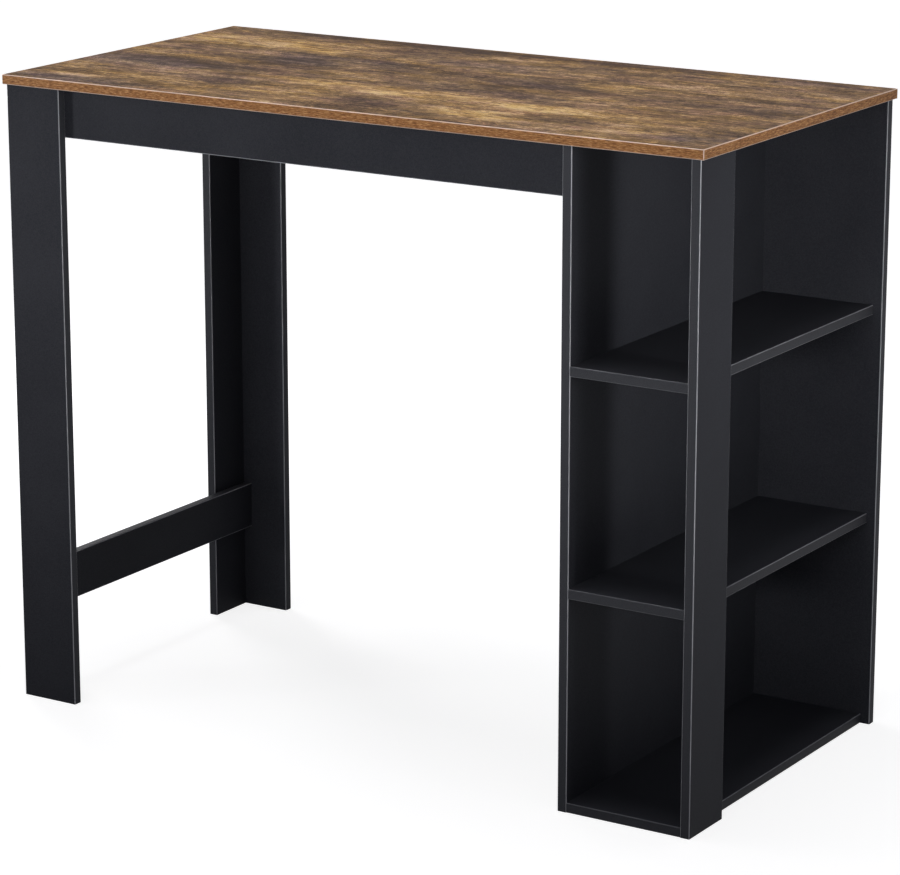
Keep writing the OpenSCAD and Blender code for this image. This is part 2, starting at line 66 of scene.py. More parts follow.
def add(tree, kind, inputs=None, stops=(), **settings):
    """Adds a node with its settings and links.

    An input's value is a number, a colour, a vector or the socket that feeds it. The stops of a
    colour ramp are (place, hex colour) in rising order.
    """
    made = tree.nodes.new(kind)
    for name, value in settings.items():
        setattr(made, name, value)
    for key, value in (inputs or {}).items():
        socket = made.inputs[key]
        if isinstance(value, bpy.types.NodeSocket):
            tree.links.new(value, socket)
        else:
            socket.default_value = value
    for number, (place, colour) in enumerate(stops):
        held = made.color_ramp.elements
        stop = held[number] if number < len(held) else held.new(place)
        stop.position = place
        stop.color = linear(colour)
    return made


def new_material(name):
    """An empty material and its node tree."""
    material = bpy.data.materials.new(name)
    material.use_nodes = True
    tree = material.node_tree
    tree.nodes.clear()
    return material, tree


def along_counter(long, wide):
    """The scale of a pattern whose marks are so many mm long along the counter, and so many wide."""
    return (1 / (long * MM), 1 / (wide * MM), 1 / (wide * MM))


# Surfaces of all the boards and bands

# Height of the finest relief of a finish
RELIEF = 0.1 * MM
# How much a matt paper or band mirrors, where an ordinary gloss is 0.5
MATT = 0.03
# The largest part of the normal is 1 on a flat face. The highlight painted on a band's rounded corner starts
# at the first of these values and is full at the second.
HIGHLIGHT_STARTS = 0.985
HIGHLIGHT_FULL = 0.955
# A face that points up or down by more than this share is the sawn end of an upright board
FACES_UP = 0.9


def painted_highlight_mask(tree):
    """1 where the surface is a band's rounded corner, where a highlight is painted, 0 on its flat faces."""
    normal = add(tree, "ShaderNodeTexCoord").outputs["Normal"]
    parts = add(tree, "ShaderNodeVectorMath", {0: normal}, operation="ABSOLUTE")
    xyz = add(tree, "ShaderNodeSeparateXYZ", {0: parts.outputs["Vector"]})
    xy = add(tree, "ShaderNodeMath", {0: xyz.outputs["X"], 1: xyz.outputs["Y"]}, operation="MAXIMUM")
    most = add(tree, "ShaderNodeMath", {0: xy.outputs[0], 1: xyz.outputs["Z"]}, operation="MAXIMUM")
    corner = add(tree, "ShaderNodeMapRange", {
        "Value": most.outputs[0], "From Min": HIGHLIGHT_STARTS, "From Max": HIGHLIGHT_FULL},
        interpolation_type="SMOOTHSTEP")
    return corner.outputs["Result"]


# The worktop's print

# Its layers: size in mm along and across the counter, seed, detail, roughness, distortion and share in the
# tone. A layer without a share is used on its own. Pores and saw marks are 0.3 to 1 mm wide on a real oak
# print. They are drawn coarser, so that they show.
PRINT_LAYERS = {
    "clouds": (210, 66, 3.1, 4.0, 0.6, 0.3, 1.35),
    "mottle": (56, 25, 11.7, 8.0, 0.8, 0.6, 1.3),
    "flecks": (13, 7, 7.7, 6.0, 0.9, 0.5, 1.8),
    "fibres": (36, 2.4, 5.3, 4.0, 0.7, 0.0, 0.8),
    "strands": (260, 4.5, 44.0, 4.0, 0.62, 0.0, 0.6),
    "sawn": (3.0, 30, 14.2, 1.0, 0.5, 0.0, 0.25),
    "pores": (11, 1.6, 8.9, 2.0, 0.6, 0.0, 0),
    "drift": (170, 50, 21.4, 3.0, 0.5, 0.0, 0),
    "tinge": (110, 34, 27.3, 3.0, 0.6, 0.4, 0),
    "bloom": (16, 8, 52.6, 4.0, 0.75, 0.4, 0),
    "cracks": (75, 11, 31.0, 5.0, 0.62, 0.8, 0),
    "dry": (120, 50, 17.0, 3.0, 0.6, 0.0, 0),
}
# A seed times these is a layer's own place in the noise
SEED_STEPS = (1.0, 1.7, 0.6)
# How the grain sways and how the edges of the patches fray: size in mm along and across the counter, detail,
# and reach in mm along and across it
SWAY = (312.5, 111.1, 2.0, 100, 30)
FRAY = (62.5, 22.22, 5.0, 160, 55)
# Soft patches, in mm on the board: centre x, centre y, half length, half width, how much lighter (above 0) or
# darker (below 0) than the ground, and how golden (above 0) or violet (below 0)
PRINT_PATCHES = [
    (-545, 190, 150, 62, 0.24, 1.0),
    (-390, 200, 130, 50, 0.14, 0.6),
    (-110, -115, 130, 40, 0.17, 1.0),
    (100, -135, 210, 46, 0.40, 1.0),
    (370, -160, 210, 62, 0.22, 0.9),
    (470, 150, 190, 44, 0.22, 0.1),
    (340, 125, 120, 28, 0.17, 0.3),
    (-170, -235, 140, 44, 0.22, 0.4),
    (-450, -240, 150, 42, 0.17, 0.2),
    (560, 110, 80, 30, 0.18, 0.0),
    (210, -235, 150, 40, 0.32, 0.8),
    (420, -252, 120, 36, 0.14, 0.4),
    (210, 262, 90, 30, 0.12, 0.3),
    (-100, -272, 120, 32, 0.04, 0.3),
    (-560, -195, 100, 34, 0.06, 0.0),
    (-310, 62, 105, 62, -0.22, -1.0),
    (-165, 95, 80, 30, -0.03, -0.7),
    (150, 60, 120, 52, -0.28, -0.5),
    (0, 80, 90, 46, -0.12, 0.0),
    (-10, 165, 130, 50, -0.17, -0.6),
    (80, -58, 210, 36, -0.28, -0.3),
    (-150, -62, 150, 36, -0.22, 0.0),
    (-520, -80, 210, 56, -0.20, -1.0),
    (-330, -178, 130, 34, -0.06, -0.3),
    (0, -208, 64, 40, -0.06, 0.0),
    (-520, -290, 170, 32, -0.20, -1.0),
    (560, 15, 120, 42, -0.07, -0.2),
    (590, -260, 80, 40, -0.18, -0.8),
    (-220, 298, 360, 36, -0.33, 0.0),
    (-210, 235, 220, 42, -0.12, 0.0),
    (440, 85, 110, 28, -0.30, 0.0),
    (310, 38, 140, 36, -0.18, 0.0),
    (450, -60, 110, 34, -0.20, 0.0),
    (-400, 130, 80, 26, -0.14, 0.0),
    (-600, 80, 60, 30, -0.06, 0.0),
    (370, 205, 140, 40, -0.17, 0.0),
    (340, 290, 220, 24, -0.10, 0.0),
    (530, 272, 140, 38, -0.23, -0.5),
]
# Small knots and short splits, in mm on the board: centre x, centre y, half length, half width
PRINT_KNOTS = [
    (-485, 172, 16, 5), (-470, 160, 7, 10), (-198, -84, 4, 13), (80, -235, 6, 4), (492, 10, 5, 12),
    (300, 158, 18, 4), (-290, -205, 26, 4), (150, -150, 5, 9), (-20, 120, 10, 4), (350, -60, 12, 4),
]
# Where a patch or a knot starts and where it is full, as shares of the way from its centre to its edge
PATCH_EDGE = (1.25, 0.2)
KNOT_EDGE = (1.2, 0.4)
# Where each of these starts and where it is full, as values of its layer. A crack is a thin line along which
# its layer is 0.5, so its values are distances from 0.5.
GOLDEN_DRIFT = (0.4, 0.68)
PORES = (0.42, 0.3)
CRACKS = (0.016, 0.004)
DRY_WOOD = (0.48, 0.58)
# How much of the mark's colour covers the ground
PORE_DEPTH = 0.55
CRACK_DEPTH = 0.8
KNOT_DEPTH = 0.75
MARK_COLOUR = "#352921"
# The ground's colours from its darkest tone to its lightest
TAN = [(0.10, "#3b2b23"), (0.28, "#5a4638"), (0.41, "#725b46"), (0.52, "#846b51"), (0.64, "#9e7f5f"),
       (0.78, "#bd9b76"), (0.95, "#e0c4a0")]
GOLDEN = [(0.10, "#3d2b1f"), (0.28, "#5e4632"), (0.41, "#775d40"), (0.52, "#896d4b"), (0.64, "#a6835a"),
          (0.78, "#c9a370"), (0.95, "#e9cb99")]
VIOLET = [(0.10, "#3b2d27"), (0.28, "#59483f"), (0.41, "#715e55"), (0.52, "#857264"), (0.64, "#9f8371"),
          (0.95, "#dcc4ac")]
# Two layers that stain the ground, towards olive where they are low and towards rose where they are high, and
# the values at which they stain fully
STAINS = {"tinge": ("#f9f2d6", "#f3ecfb"), "bloom": ("#faf5de", "#f6f0fc")}
STAIN_LOW = 0.36
STAIN_HIGH = 0.64


def strayed(tree, coords, long, wide, detail, reach_long, reach_wide):
    """Coordinates pushed about by up to half the reach, so that what is drawn on them sways or frays."""
    place = add(tree, "ShaderNodeMapping", {"Vector": coords, "Scale": along_counter(long, wide)})
    noise = add(tree, "ShaderNodeTexNoise", {
        "Vector": place.outputs["Vector"], "Scale": 1.0, "Detail": detail, "Roughness": 0.6})
    push = add(tree, "ShaderNodeVectorMath", {0: noise.outputs["Color"], 1: (0.5, 0.5, 0.5)},
               operation="SUBTRACT")
    push = add(tree, "ShaderNodeVectorMath", {
        0: push.outputs["Vector"], 1: (reach_long * MM, reach_wide * MM, 0.0)}, operation="MULTIPLY")
    return add(tree, "ShaderNodeVectorMath", {0: coords, 1: push.outputs["Vector"]},
               operation="ADD").outputs["Vector"]


def spot(tree, coords, x, y, long, wide, edge, depth=1.0):
    """The full depth at the heart of an oval spot on the worktop, fading to 0 at its edge."""
    place = add(tree, "ShaderNodeMapping", {
        "Vector": coords, "Location": (x * MM, y * MM, TOP), "Scale": (long * MM, wide * MM, 1.0)},
        vector_type="TEXTURE")
    far = add(tree, "ShaderNodeVectorMath", {0: place.outputs["Vector"]}, operation="LENGTH")
    near = add(tree, "ShaderNodeMapRange", {
        "Value": far.outputs["Value"], "From Min": edge[0], "From Max": edge[1], "To Max": depth},
        interpolation_type="SMOOTHSTEP")
    return near.outputs["Result"]


def print_layers(tree, grain):
    """All the noise layers by name, and the weighted ones summed into one tone about 0.5."""
    layer = {}
    tone = 0.5 - 0.5 * sum(row[-1] for row in PRINT_LAYERS.values())
    for name, (long, wide, seed, detail, rough, warp, share) in PRINT_LAYERS.items():
        place = add(tree, "ShaderNodeMapping", {
            "Vector": grain, "Location": [seed * step for step in SEED_STEPS],
            "Scale": along_counter(long, wide)})
        noise = add(tree, "ShaderNodeTexNoise", {
            "Vector": place.outputs["Vector"], "Scale": 1.0, "Detail": detail, "Roughness": rough,
            "Distortion": warp})
        layer[name] = noise.outputs["Fac"]
        if share:
            tone = add(tree, "ShaderNodeMath", {0: layer[name], 1: share, 2: tone},
                       operation="MULTIPLY_ADD").outputs[0]
    return layer, tone


def print_patches(tree, frayed, tone):
    """The tone with its light and dark patches, and how golden and how violet these are."""
    golden = 0.0
    violet = 0.0
    for x, y, long, wide, lift, hue in PRINT_PATCHES:
        near = spot(tree, frayed, x, y, long, wide, PATCH_EDGE)
        tone = add(tree, "ShaderNodeMath", {0: near, 1: lift, 2: tone}, operation="MULTIPLY_ADD").outputs[0]
        if hue > 0:
            golden = add(tree, "ShaderNodeMath", {0: near, 1: hue, 2: golden},
                         operation="MULTIPLY_ADD").outputs[0]
        if hue < 0:
            violet = add(tree, "ShaderNodeMath", {0: near, 1: -hue, 2: violet}, operation="MULTIPLY_ADD",
                         use_clamp=True).outputs[0]
    return tone, golden, violet


def print_ground(tree, layer, tone, golden, violet):
    """The ground's colour: tan or golden, violet in some dark patches, a little olive or rose everywhere."""
    drift = add(tree, "ShaderNodeMapRange", {
        "Value": layer["drift"], "From Min": GOLDEN_DRIFT[0], "From Max": GOLDEN_DRIFT[1]})
    golden = add(tree, "ShaderNodeMath", {0: drift.outputs["Result"], 1: golden}, operation="ADD",
                 use_clamp=True).outputs[0]
    ground = add(tree, "ShaderNodeValToRGB", {"Fac": tone}, TAN).outputs["Color"]
    for share, colours in ((golden, GOLDEN), (violet, VIOLET)):
        other = add(tree, "ShaderNodeValToRGB", {"Fac": tone}, colours)
        ground = add(tree, "ShaderNodeMix", {"Factor": share, "A": ground, "B": other.outputs["Color"]},
                     data_type="RGBA").outputs["Result"]
    for name, (olive, rose) in STAINS.items():
        stain = add(tree, "ShaderNodeValToRGB", {"Fac": layer[name]}, [
            (STAIN_LOW, olive), (0.5, "#ffffff"), (STAIN_HIGH, rose)])
        ground = add(tree, "ShaderNodeMix", {"Factor": 1.0, "A": ground, "B": stain.outputs["Color"]},
                     data_type="RGBA", blend_type="MULTIPLY").outputs["Result"]
    return ground


def print_marks(tree, layer, frayed):
    """How dark the marks are: pores everywhere, thin cracks where the wood is dry, and a few knots."""
    pores = add(tree, "ShaderNodeMapRange", {
        "Value": layer["pores"], "From Min": PORES[0], "From Max": PORES[1], "To Max": PORE_DEPTH},
        interpolation_type="SMOOTHSTEP")
    middle = add(tree, "ShaderNodeMath", {0: layer["cracks"], 1: 0.5}, operation="SUBTRACT")
    middle = add(tree, "ShaderNodeMath", {0: middle.outputs[0]}, operation="ABSOLUTE")
    crack = add(tree, "ShaderNodeMapRange", {
        "Value": middle.outputs[0], "From Min": CRACKS[0], "From Max": CRACKS[1]})
    dry = add(tree, "ShaderNodeMapRange", {
        "Value": layer["dry"], "From Min": DRY_WOOD[0], "From Max": DRY_WOOD[1], "To Max": CRACK_DEPTH})
    crack = add(tree, "ShaderNodeMath", {0: crack.outputs["Result"], 1: dry.outputs["Result"]},
                operation="MULTIPLY")
    dark = add(tree, "ShaderNodeMath", {0: pores.outputs["Result"], 1: crack.outputs[0]},
               operation="MAXIMUM").outputs[0]
    for x, y, long, wide in PRINT_KNOTS:
        knot = spot(tree, frayed, x, y, long, wide, KNOT_EDGE, KNOT_DEPTH)
        dark = add(tree, "ShaderNodeMath", {0: dark, 1: knot}, operation="MAXIMUM").outputs[0]
    return dark


def weathered_oak_print():
    """Melamine paper printed with weathered oak and pressed on chipboard, for the worktop.

    To the eye: ragged clouds of gold and of purple-brown along the counter, short dark pores, thin cracks
    and a trace of the saw across the grain, all under one even satin film.
    """
    material, tree = new_material("weathered oak printed melamine")
    coords = add(tree, "ShaderNodeTexCoord").outputs["Object"]
    frayed = strayed(tree, coords, *FRAY)
    layer, tone = print_layers(tree, strayed(tree, coords, *SWAY))
    ground = print_ground(tree, layer, *print_patches(tree, frayed, tone))
    colour = add(tree, "ShaderNodeMix", {
        "Factor": print_marks(tree, layer, frayed), "A": ground, "B": linear(MARK_COLOUR)},
        data_type="RGBA")
    rough = add(tree, "ShaderNodeMapRange", {"Value": layer["fibres"], "To Min": 0.5, "To Max": 0.68})
    bump = add(tree, "ShaderNodeBump", {"Height": layer["fibres"], "Strength": 0.15, "Distance": RELIEF})
    shader = add(tree, "ShaderNodeBsdfPrincipled", {
        "Base Color": colour.outputs["Result"], "Roughness": rough.outputs["Result"],
        "Specular IOR Level": MATT, "Normal": bump.outputs["Normal"]})
    add(tree, "ShaderNodeOutputMaterial", {"Surface": shader.outputs["BSDF"]})
    return material


# Edge bands

# The printed strokes of the brown bands, in mm along and across the edge, and their place in the noise
STROKE_LONG = 10
STROKE_WIDE = 1.6
STROKE_PLACE = (2.4, 4.1, 1.4)


def oak_print_band(along):
    """ABS edge band printed with oak and glued round the worktop, its corners trimmed after gluing.

    To the eye: redder and cleaner than the worktop, with short dark strokes along the edge, and a pale
    pinkish line painted along its rounded corners as a highlight.
    """
    material, tree = new_material(f"oak printed edge band along {along}")
    coords = add(tree, "ShaderNodeTexCoord").outputs["Object"]
    long, wide, _ = along_counter(STROKE_LONG, STROKE_WIDE)
    scale = {"x": (long, wide, wide), "y": (wide, long, wide)}[along]
    place = add(tree, "ShaderNodeMapping", {"Vector": coords, "Location": STROKE_PLACE, "Scale": scale})
    strokes = add(tree, "ShaderNodeTexNoise", {
        "Vector": place.outputs["Vector"], "Scale": 1.0, "Detail": 5.0, "Roughness": 0.72})
    colour = add(tree, "ShaderNodeValToRGB", {"Fac": strokes.outputs["Fac"]}, [
        (0.33, "#5c3a24"), (0.45, "#90613b"), (0.55, "#ae7c4e"), (0.68, "#d9ab77")])
    # A pale pinkish line is painted on the rounded corners: a painted highlight
    mixed = add(tree, "ShaderNodeMix", {
        "Factor": painted_highlight_mask(tree), "A": colour.outputs["Color"], "B": linear("#dcc4b4")},
        data_type="RGBA")
    rough = add(tree, "ShaderNodeMapRange", {
        "Value": strokes.outputs["Fac"], "To Min": 0.38, "To Max": 0.58})
    bump = add(tree, "ShaderNodeBump", {
        "Height": strokes.outputs["Fac"], "Strength": 0.12, "Distance": RELIEF})
    shader = add(tree, "ShaderNodeBsdfPrincipled", {
        "Base Color": mixed.outputs["Result"], "Roughness": rough.outputs["Result"],
        "Specular IOR Level": 0.1, "Normal": bump.outputs["Normal"]})
    add(tree, "ShaderNodeOutputMaterial", {"Surface": shader.outputs["BSDF"]})
    return material


def charcoal_band(name, corner):
    """ABS edge band in charcoal, extruded with a fine matt emboss and trimmed after gluing.

    To the eye: a shade lighter than the boards, with a faint grit, and a thin grey line painted at each
    rounded corner as a highlight, in the grey that is given; a darker grey is painted shade.
    """
    material, tree = new_material(name)
    coords = add(tree, "ShaderNodeTexCoord").outputs["Object"]
    # The emboss is about 0.2 mm fine. It is drawn at 1.3 mm, so that it shows.
    emboss = add(tree, "ShaderNodeTexNoise", {"Vector": coords, "Scale": 1 / (1.3 * MM), "Detail": 2.0})
    colour = add(tree, "ShaderNodeValToRGB", {"Fac": emboss.outputs["Fac"]}, [
        (0.3, "#3f4044"), (0.7, "#494a4e")])
    # The given grey is painted on the rounded corners: a painted highlight
    mixed = add(tree, "ShaderNodeMix", {
        "Factor": painted_highlight_mask(tree), "A": colour.outputs["Color"], "B": linear(corner)},
        data_type="RGBA")
    rough = add(tree, "ShaderNodeMapRange", {
        "Value": emboss.outputs["Fac"], "To Min": 0.38, "To Max": 0.54})
    bump = add(tree, "ShaderNodeBump", {
        "Height": emboss.outputs["Fac"], "Strength": 0.12, "Distance": RELIEF})
    shader = add(tree, "ShaderNodeBsdfPrincipled", {
        "Base Color": mixed.outputs["Result"], "Roughness": rough.outputs["Result"],
        "Specular IOR Level": MATT, "Normal": bump.outputs["Normal"]})
    add(tree, "ShaderNodeOutputMaterial", {"Surface": shader.outputs["BSDF"]})
    return material


# Boards

def charcoal_melamine(cut_ends):
    """Chipboard faced with charcoal melamine paper, hot pressed against a plate with a fine pearl texture.

    To the eye: nearly black, with a faint pearl close up and a slow change of depth across a board that the
    press leaves. An upright board is sawn off at its foot and head and not banded there, so these ends show
    its raw tan chips.
    """
    material, tree = new_material("charcoal melamine, sawn at its ends" if cut_ends else "charcoal melamine")
    coords = add(tree, "ShaderNodeTexCoord").outputs["Object"]
    # The pearls are about 0.4 mm wide. They are drawn at 1.6 mm, so that they show.
    pearl = add(tree, "ShaderNodeTexNoise", {"Vector": coords, "Scale": 1 / (1.6 * MM), "Detail": 2.0})
    # The press leaves clouds about 140 mm wide. They count half as much as the pearls.
    press = add(tree, "ShaderNodeTexNoise", {
        "Vector": coords, "Scale": 1 / (140 * MM), "Detail": 3.0, "Roughness": 0.55})
    shade = add(tree, "ShaderNodeMath", {0: press.outputs["Fac"], 1: 0.5, 2: -0.25},
                operation="MULTIPLY_ADD")
    shade = add(tree, "ShaderNodeMath", {0: pearl.outputs["Fac"], 1: shade.outputs[0]}, operation="ADD")
    paper = add(tree, "ShaderNodeValToRGB", {"Fac": shade.outputs[0]}, [
        (0.28, "#2f3035"), (0.72, "#3b3c41")])
    colour = paper.outputs["Color"]
    rough = add(tree, "ShaderNodeMapRange", {
        "Value": shade.outputs[0], "From Min": 0.25, "From Max": 0.75, "To Min": 0.44,
        "To Max": 0.56}).outputs["Result"]
    if cut_ends:
        # Chips about 3 mm across, each with its own tone, and rougher than the paper
        chips = add(tree, "ShaderNodeTexVoronoi", {"Vector": coords, "Scale": 1 / (3 * MM)})
        chip = add(tree, "ShaderNodeSeparateColor", {"Color": chips.outputs["Color"]})
        raw = add(tree, "ShaderNodeValToRGB", {"Fac": chip.outputs["Red"]}, [
            (0.0, "#6f5438"), (0.35, "#a18059"), (0.75, "#bd9f77"), (1.0, "#d8c09a")])
        normal = add(tree, "ShaderNodeTexCoord").outputs["Normal"]
        normal = add(tree, "ShaderNodeSeparateXYZ", {0: normal})
        facing = add(tree, "ShaderNodeMath", {0: normal.outputs["Z"]}, operation="ABSOLUTE")
        end = add(tree, "ShaderNodeMath", {0: facing.outputs[0], 1: FACES_UP},
                  operation="GREATER_THAN").outputs[0]
        colour = add(tree, "ShaderNodeMix", {"Factor": end, "A": colour, "B": raw.outputs["Color"]},
                     data_type="RGBA").outputs["Result"]
        rough = add(tree, "ShaderNodeMath", {0: end, 1: 0.42, 2: rough}, operation="MULTIPLY_ADD",
                    use_clamp=True).outputs[0]
    bump = add(tree, "ShaderNodeBump", {
        "Height": pearl.outputs["Fac"], "Strength": 0.15, "Distance": RELIEF})
    shader = add(tree, "ShaderNodeBsdfPrincipled", {
        "Base Color": colour, "Roughness": rough, "Specular IOR Level": MATT,
        "Normal": bump.outputs["Normal"]})
    add(tree, "ShaderNodeOutputMaterial", {"Surface": shader.outputs["BSDF"]})
    return material


# Fittings

def turned_beech():
    """Beech rod, turned, fluted and cut to length, for the dowels.

    To the eye: a dry, pale pinkish tan with short darker ray flecks.
    """
    material, tree = new_material("turned beech")
    coords = add(tree, "ShaderNodeTexCoord").outputs["Object"]
    # The rays are 0.3 mm wide. They are drawn at 0.9 mm, so that they show.
    rays = add(tree, "ShaderNodeTexNoise", {
        "Vector": coords, "Scale": 1 / (0.9 * MM), "Detail": 2.0, "Roughness": 0.7})
    # The year rings are about 5 mm apart
    years = add(tree, "ShaderNodeTexNoise", {"Vector": coords, "Scale": 1 / (5 * MM), "Detail": 2.0})
    both = add(tree, "ShaderNodeMath", {0: rays.outputs["Fac"], 1: years.outputs["Fac"]},
               operation="MULTIPLY")
    colour = add(tree, "ShaderNodeValToRGB", {"Fac": both.outputs[0]}, [
        (0.12, "#a27a52"), (0.22, "#c29a6e"), (0.36, "#d8b88e")])
    bump = add(tree, "ShaderNodeBump", {"Height": rays.outputs["Fac"], "Strength": 0.3, "Distance": RELIEF})
    shader = add(tree, "ShaderNodeBsdfPrincipled", {
        "Base Color": colour.outputs["Color"], "Roughness": 0.7, "Specular IOR Level": 0.3,
        "Normal": bump.outputs["Normal"]})
    add(tree, "ShaderNodeOutputMaterial", {"Surface": shader.outputs["BSDF"]})
    return material


def bright_zinc_plating():
    """Pressed and headed steel, zinc plated and passivated, for the brackets, bolts and screws.

    To the eye: a bright and slightly bluish grey, clouded where the passivation film is thicker, with the
    highlights a little smeared.
    """
    material, tree = new_material("zinc plated steel")
    coords = add(tree, "ShaderNodeTexCoord").outputs["Object"]
    # The clouds in the film are about 6 mm wide
    film = add(tree, "ShaderNodeTexNoise", {
        "Vector": coords, "Scale": 1 / (6 * MM), "Detail": 4.0, "Distortion": 0.6})
    colour = add(tree, "ShaderNodeValToRGB", {"Fac": film.outputs["Fac"]}, [
        (0.32, "#a9afb8"), (0.5, "#babdc1"), (0.68, "#c8c7c0")])
    rough = add(tree, "ShaderNodeMapRange", {
        "Value": film.outputs["Fac"], "From Min": 0.3, "From Max": 0.7, "To Min": 0.26, "To Max": 0.44})
    shader = add(tree, "ShaderNodeBsdfPrincipled", {
        "Base Color": colour.outputs["Color"], "Metallic": 1.0, "Roughness": rough.outputs["Result"]})
    add(tree, "ShaderNodeOutputMaterial", {"Surface": shader.outputs["BSDF"]})
    return material


def cast_zinc():
    """Zinc alloy cast in a die and tumbled, for the cam discs.

    To the eye: a darker and flatter grey than the plated steel, with a fine grit that breaks up its
    highlights.
    """
    material, tree = new_material("die cast zinc")
    coords = add(tree, "ShaderNodeTexCoord").outputs["Object"]
    # The tumbled grit is about 0.2 mm fine. It is drawn at 0.8 mm, so that it shows.
    grit = add(tree, "ShaderNodeTexNoise", {
        "Vector": coords, "Scale": 1 / (0.8 * MM), "Detail": 3.0, "Roughness": 0.65})
    # The metal's flow in the die shows about 7 mm wide
    flow = add(tree, "ShaderNodeTexNoise", {
        "Vector": coords, "Scale": 1 / (7 * MM), "Detail": 2.0, "Distortion": 1.0})
    both = add(tree, "ShaderNodeMath", {0: grit.outputs["Fac"], 1: flow.outputs["Fac"]},
               operation="MULTIPLY")
    colour = add(tree, "ShaderNodeValToRGB", {"Fac": both.outputs[0]}, [
        (0.14, "#87898c"), (0.25, "#9c9da0"), (0.38, "#b1b2b4")])
    rough = add(tree, "ShaderNodeMapRange", {
        "Value": grit.outputs["Fac"], "From Min": 0.3, "From Max": 0.7, "To Min": 0.42, "To Max": 0.6})
    bump = add(tree, "ShaderNodeBump", {"Height": grit.outputs["Fac"], "Strength": 0.3, "Distance": RELIEF})
    shader = add(tree, "ShaderNodeBsdfPrincipled", {
        "Base Color": colour.outputs["Color"], "Metallic": 1.0, "Roughness": rough.outputs["Result"],
        "Normal": bump.outputs["Normal"]})
    add(tree, "ShaderNodeOutputMaterial", {"Surface": shader.outputs["BSDF"]})
    return material


def moulded_cap():
    """Polypropylene moulded in a spark-eroded tool, for the caps over the foot rail's screws.

    To the eye: black and slightly waxy, a little glossier than the boards, with a fine orange peel.
    """
    material, tree = new_material("moulded polypropylene")
    coords = add(tree, "ShaderNodeTexCoord").outputs["Object"]
    # The spark erosion leaves pits of about 0.1 mm. They are drawn at 0.7 mm, so that they show.
    peel = add(tree, "ShaderNodeTexNoise", {"Vector": coords, "Scale": 1 / (0.7 * MM), "Detail": 2.0})
    colour = add(tree, "ShaderNodeValToRGB", {"Fac": peel.outputs["Fac"]}, [
        (0.3, "#29292c"), (0.7, "#36363a")])
    rough = add(tree, "ShaderNodeMapRange", {
        "Value": peel.outputs["Fac"], "From Min": 0.3, "From Max": 0.7, "To Min": 0.36, "To Max": 0.5})
    bump = add(tree, "ShaderNodeBump", {"Height": peel.outputs["Fac"], "Strength": 0.25, "Distance": RELIEF})
    shader = add(tree, "ShaderNodeBsdfPrincipled", {
        "Base Color": colour.outputs["Color"], "Roughness": rough.outputs["Result"], "IOR": 1.49,
        "Specular IOR Level": 0.15, "Normal": bump.outputs["Normal"]})
    add(tree, "ShaderNodeOutputMaterial", {"Surface": shader.outputs["BSDF"]})
    return material


# Which piece has which finish

FINISH = {
    "wood_print": weathered_oak_print(),
    "brown_edge_band": oak_print_band("x"),
    "brown_edge_band across": oak_print_band("y"),
    "black_melamine": charcoal_melamine(cut_ends=False),
    "black_melamine upright": charcoal_melamine(cut_ends=True),
    # The second value is the grey of the highlight painted on the rounded corners; on the shelves' bands it
    # is darker, as painted shade
    "black_edge_band": charcoal_band("charcoal edge band", "#b0b1b5"),
    "black_edge_band half buffed": charcoal_band("charcoal edge band, half buffed", "#909195"),
    "black_edge_band buffed": charcoal_band("charcoal edge band, buffed", "#6a6b6f"),
    "beech_dowel": turned_beech(),
    "zinc_plated_steel": bright_zinc_plating(),
    "zinc_casting": cast_zinc(),
    "black_cap": moulded_cap(),
}
# Bands whose painted corner highlight is darker, as painted shade
SHADED_HIGHLIGHT_BANDS = {"shelf_front_bands": " buffed", "shelf_side_bands": " half buffed"}
SLOT_OF = {part["node"]: part["material_slot"] for part in frame["record"]["subparts"]}


def finish_of(name):
    """A piece's material slot, with a word for its variant where the slot has more than one finish."""
    low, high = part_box(name)
    slot = SLOT_OF[name]
    if slot == "brown_edge_band" and high[1] - low[1] > high[0] - low[0]:
        return slot + " across"
    if slot == "black_melamine" and high[2] - low[2] > UPRIGHT:
        return slot + " upright"
    return slot + SHADED_HIGHLIGHT_BANDS.get(name, "")


for name, piece in frame["nodes"].items():
    piece.data.materials.clear()
    piece.data.materials.append(FINISH[finish_of(name)])


# Studio: a pale floor, a white surround and soft lamps

# Half the floor's side, and how far the floor lies below the feet
FLOOR_REACH = 12.0
FLOOR_DROP = 0.2 * MM
FLOOR_GREY = "#bcbcbc"
# The floor's glow, which only the eye sees: under the counter and away from it, and the distances between
# which it rises
GLOW_NEAR = 0.84
GLOW_FAR = 1.0
GLOW_RISES = (0.6, 2.6)
# The surround's light on the counter
FILL_COLOUR = "#d5d1ff"
FILL_STRENGTH = 0.054


def seen_directly(tree):
    """1 for rays that look at the studio itself: from the camera, in a reflection or through glass."""
    rays = add(tree, "ShaderNodeLightPath")
    seen = add(tree, "ShaderNodeMath", {0: rays.outputs["Is Camera Ray"], 1: rays.outputs["Is Glossy Ray"]},
               operation="MAXIMUM")
    return add(tree, "ShaderNodeMath", {0: seen.outputs[0], 1: rays.outputs["Is Transmission Ray"]},
               operation="MAXIMUM").outputs[0]


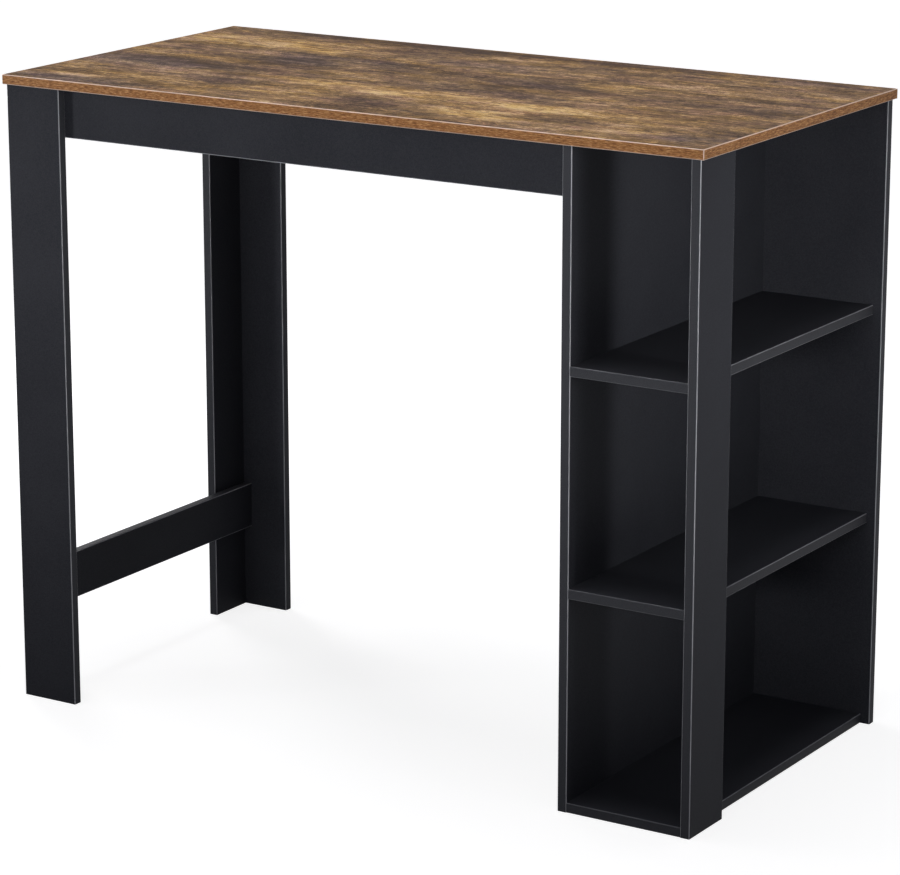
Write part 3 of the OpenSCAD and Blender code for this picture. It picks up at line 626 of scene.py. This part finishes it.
def studio_floor():
    """A wide floor of pale paper that keeps the counter's shadow and turns white away from it."""
    mesh = bpy.data.meshes.new("studio_floor")
    shape = bmesh.new()
    bmesh.ops.create_grid(shape, x_segments=8, y_segments=8, size=FLOOR_REACH)
    bmesh.ops.translate(shape, verts=shape.verts, vec=(0, 0, -FLOOR_DROP))
    shape.to_mesh(mesh)
    shape.free()
    floor = bpy.data.objects.new("studio_floor", mesh)
    bpy.context.scene.collection.objects.link(floor)
    material, tree = new_material("studio paper")
    coords = add(tree, "ShaderNodeTexCoord").outputs["Object"]
    away = add(tree, "ShaderNodeVectorMath", {0: coords}, operation="LENGTH")
    glow = add(tree, "ShaderNodeMapRange", {
        "Value": away.outputs["Value"], "From Min": GLOW_RISES[0], "From Max": GLOW_RISES[1],
        "To Min": GLOW_NEAR, "To Max": GLOW_FAR}, interpolation_type="SMOOTHSTEP")
    share = add(tree, "ShaderNodeMath", {0: seen_directly(tree), 1: glow.outputs["Result"]},
                operation="MULTIPLY")
    paper = add(tree, "ShaderNodeBsdfDiffuse", {"Color": linear(FLOOR_GREY)})
    white = add(tree, "ShaderNodeEmission", {"Strength": share.outputs[0]})
    both = add(tree, "ShaderNodeAddShader", {0: paper.outputs["BSDF"], 1: white.outputs["Emission"]})
    add(tree, "ShaderNodeOutputMaterial", {"Surface": both.outputs[0]})
    mesh.materials.append(material)


def surround():
    """White to the eye and in reflections, with only a faint and slightly cool fill on the counter."""
    world = bpy.data.worlds.new("studio")
    bpy.context.scene.world = world
    world.use_nodes = True
    tree = world.node_tree
    tree.nodes.clear()
    fill = add(tree, "ShaderNodeBackground", {"Color": linear(FILL_COLOUR), "Strength": FILL_STRENGTH})
    white = add(tree, "ShaderNodeBackground", {"Color": linear("#ffffff"), "Strength": 1.0})
    both = add(tree, "ShaderNodeMixShader", {
        0: seen_directly(tree), 1: fill.outputs[0], 2: white.outputs[0]})
    add(tree, "ShaderNodeOutputWorld", {"Surface": both.outputs[0]})


def soft_lamp(name, place, aim, width, height, power, spread):
    """A rectangular lamp of a given power in watts, whose light spreads over an angle in degrees."""
    light = bpy.data.lights.new(name, "AREA")
    light.shape = "RECTANGLE"
    light.size = width
    light.size_y = height
    light.energy = power
    light.spread = math.radians(spread)
    lamp = bpy.data.objects.new(name, light)
    lamp.location = place
    lamp.rotation_euler = (Vector(aim) - Vector(place)).to_track_quat("-Z", "Y").to_euler()
    bpy.context.scene.collection.objects.link(lamp)


def camera():
    """The photograph's side of the counter, fitted to its corners, but with a lens that isn't shifted."""
    aim = Vector((-0.006, 0.026, 0.458))
    azimuth = math.radians(32.24)
    elevation = math.radians(14.77)
    distance = 5.895
    lens = bpy.data.cameras.new("camera")
    lens.sensor_width = 36.0
    lens.lens = 144.0
    seen_from = Vector((
        math.sin(azimuth) * math.cos(elevation), -math.cos(azimuth) * math.cos(elevation),
        math.sin(elevation)))
    made = bpy.data.objects.new("camera", lens)
    made.location = aim + distance * seen_from
    made.rotation_euler = Euler((math.pi / 2 - elevation, 0, azimuth))
    bpy.context.scene.collection.objects.link(made)
    bpy.context.scene.camera = made


# Lamps: name, place, what it points at, width, height, power in watts, spread in degrees
LAMPS = [
    ("overhead", (0.0, -0.1, 3.4), (0, 0, 1.0), 2.2, 1.6, 46.5, 180),
    ("front", (0.8, -4.2, 1.2), (0.38, -0.3, 0.93), 2.0, 0.4, 3.1, 35),
    ("front_right", (1.6, -4.2, 1.2), (0.6, -0.3, 0.85), 1.2, 0.4, 0.4, 26),
    ("front_upper", (-0.2, -3.6, 2.4), (0, -0.3, 0.95), 2.4, 0.5, 0.95, 50),
    ("right", (3.6, -0.45, 1.1), (0.62, -0.05, 0.92), 0.5, 0.5, 1.2, 35),
    ("right_corner", (3.6, -0.9, 1.1), (0.62, -0.34, 0.95), 0.5, 0.5, 0.35, 26),
    ("left", (-3.2, -2.7, 1.4), (-0.6, 0, 0.85), 0.6, 0.5, 1.8, 28),
    ("rear", (-3.2, 1.8, 0.65), (0, 0, 0.55), 1.2, 0.7, 20, 90),
]
studio_floor()
surround()
for lamp in LAMPS:
    soft_lamp(*lamp)
camera()
bpy.context.scene.view_settings.view_transform = "Standard"
